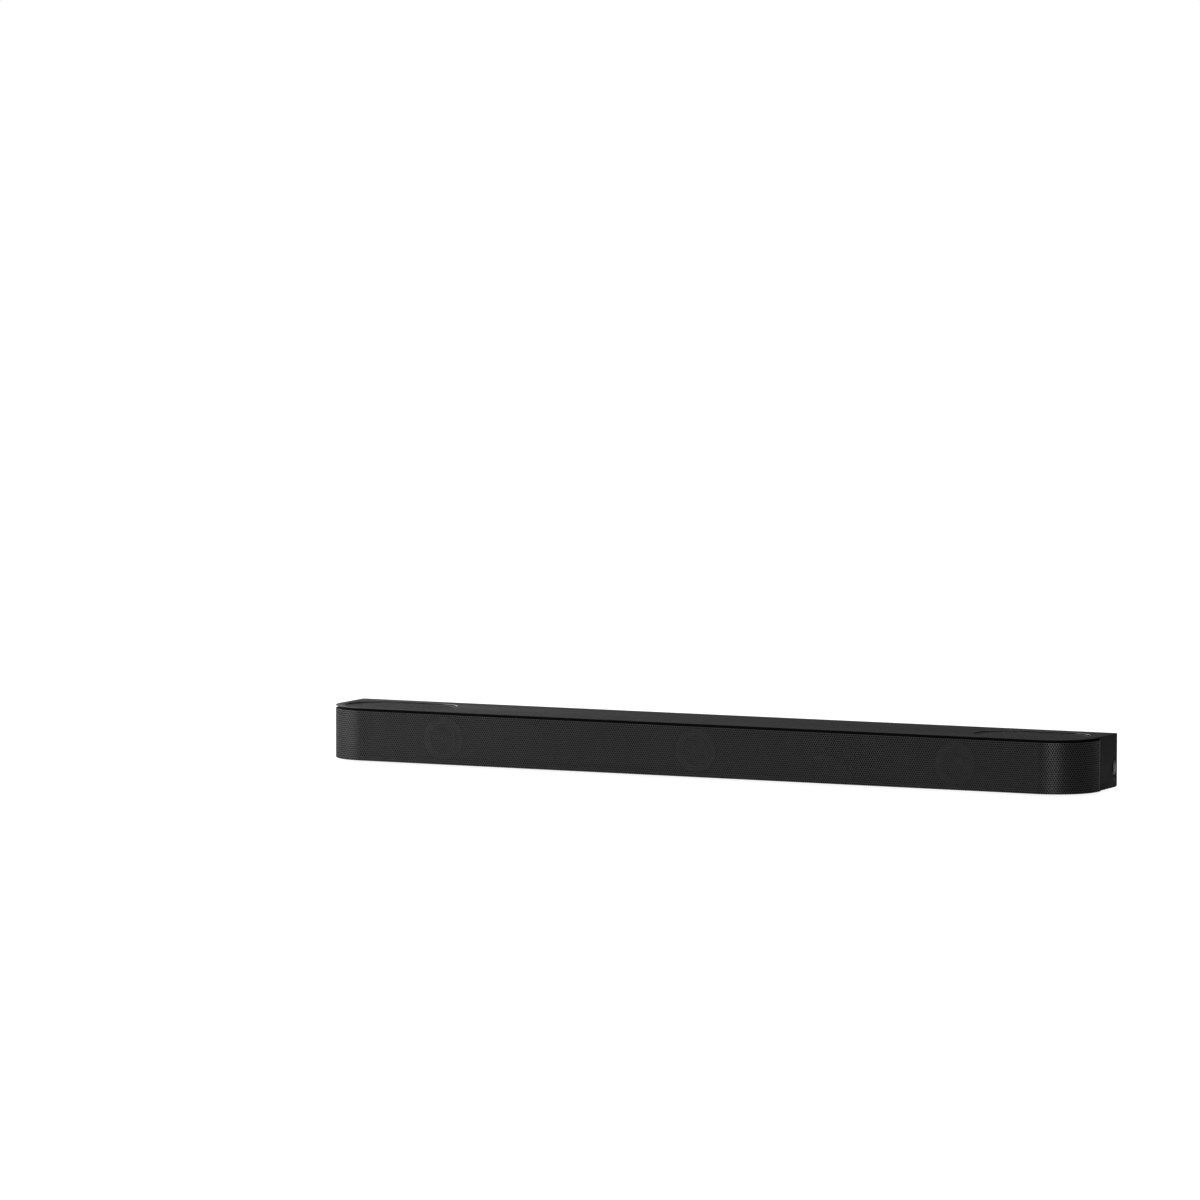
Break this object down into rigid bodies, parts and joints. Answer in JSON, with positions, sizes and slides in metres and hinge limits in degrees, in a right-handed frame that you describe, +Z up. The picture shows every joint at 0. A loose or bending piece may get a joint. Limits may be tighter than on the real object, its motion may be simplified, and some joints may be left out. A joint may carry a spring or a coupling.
{
  "type": "soundbar",
  "caption": "Long low loudspeaker bar with a wrap-round perforated front, round front corners, oval speaker pods in its top and socket bays in its back.",
  "frame": {"origin": "middle of the bar, on the surface that its feet stand on", "axes": "+X along the bar to its right-hand end as a listener faces it, +Y to the rear, +Z up"},
  "size_m": [0.95, 0.11, 0.064],
  "materials": {
    "top_plastic": "fine satin moulding",
    "grille_steel": "black powder coat on perforated steel",
    "pod_mesh": "fine dark mesh",
    "housing_plastic": "fine spark-eroded texture",
    "chassis_plastic": "matt",
    "basket_steel": "black",
    "magnet": "zinc and ferrite",
    "cone": "pulp cone with a rubber edge",
    "circuit_board": "solder mask",
    "bare_aluminium": "extruded",
    "socket_metal": "nickel plate",
    "socket_plastic": "satin",
    "smoked_lens": "smoked",
    "cable_jacket": "satin",
    "zinc_steel": "zinc plate",
    "black_screw": "black oxide",
    "foot_rubber": "matt"
  },
  "bodies": {
    "root": {"top_panel": "top_plastic", "front_grille": "grille_steel", "front_chassis": "chassis_plastic", "rear_housing": "housing_plastic", "base_plate": "housing_plastic", "pod_mesh_left": "pod_mesh", "pod_mesh_right": "pod_mesh", "upfire_bracket_left": "chassis_plastic", "upfire_bracket_right": "chassis_plastic", "signal_bay": "housing_plastic", "power_bay": "housing_plastic", "video_out_port": "socket_metal", "video_in_port": "socket_metal", "optical_port": "socket_plastic", "mains_inlet": "socket_plastic", "side_port": "socket_metal", "side_port_bezel": "housing_plastic", "main_board": "circuit_board", "power_board": "circuit_board", "heat_sink": "bare_aluminium", "wireless_card": "circuit_board", "touch_board": "circuit_board", "indicator_board": "circuit_board", "indicator_lens": "smoked_lens", "speaker_cable_left": "cable_jacket", "speaker_cable_right": "cable_jacket", "side_port_cable": "cable_jacket", "wall_plate_left": "zinc_steel", "wall_plate_right": "zinc_steel", "left_driver_basket": "basket_steel", "left_driver_magnet": "magnet", "centre_driver_basket": "basket_steel", "centre_driver_magnet": "magnet", "right_driver_basket": "basket_steel", "right_driver_magnet": "magnet", "upfire_left_basket": "basket_steel", "upfire_left_magnet": "magnet", "upfire_right_basket": "basket_steel", "upfire_right_magnet": "magnet", "base_screw_front_left": "black_screw", "base_screw_front_right": "black_screw", "base_screw_rear_far_left": "black_screw", "base_screw_rear_left": "black_screw", "base_screw_rear_right": "black_screw", "base_screw_rear_far_right": "black_screw", "foot_front_left": "foot_rubber", "foot_front_centre": "foot_rubber", "foot_front_right": "foot_rubber", "foot_rear_left": "foot_rubber", "foot_rear_centre": "foot_rubber", "foot_rear_right": "foot_rubber"},
    "optical_shutter": {"optical_shutter": "socket_plastic"},
    "left_driver_cone": {"left_driver_cone": "cone"},
    "centre_driver_cone": {"centre_driver_cone": "cone"},
    "right_driver_cone": {"right_driver_cone": "cone"},
    "upfire_left_cone": {"upfire_left_cone": "cone"},
    "upfire_right_cone": {"upfire_right_cone": "cone"}
  },
  "joints": [
    {"name": "left_driver_throw", "type": "slide", "parent": "root", "child": "left_driver_cone", "axis": [0, -1, 0], "range_m": [-0.0025, 0.0025], "stiffness_N_per_m": 1500},
    {"name": "centre_driver_throw", "type": "slide", "parent": "root", "child": "centre_driver_cone", "axis": [0, -1, 0], "range_m": [-0.0025, 0.0025], "stiffness_N_per_m": 1500},
    {"name": "right_driver_throw", "type": "slide", "parent": "root", "child": "right_driver_cone", "axis": [0, -1, 0], "range_m": [-0.0025, 0.0025], "stiffness_N_per_m": 1500},
    {"name": "upfire_left_throw", "type": "slide", "parent": "root", "child": "upfire_left_cone", "axis": [0, -0.2079, 0.9781], "range_m": [-0.0025, 0.0025], "stiffness_N_per_m": 1500},
    {"name": "upfire_right_throw", "type": "slide", "parent": "root", "child": "upfire_right_cone", "axis": [0, -0.2079, 0.9781], "range_m": [-0.0025, 0.0025], "stiffness_N_per_m": 1500},
    {"name": "optical_shutter_hinge", "type": "hinge", "parent": "root", "child": "optical_shutter", "pos_m": [0.16, 0.0361, 0.0379], "axis": [-1, 0, 0], "range_deg": [0, 80], "stiffness_Nm_per_rad": 0.002}
  ]
}
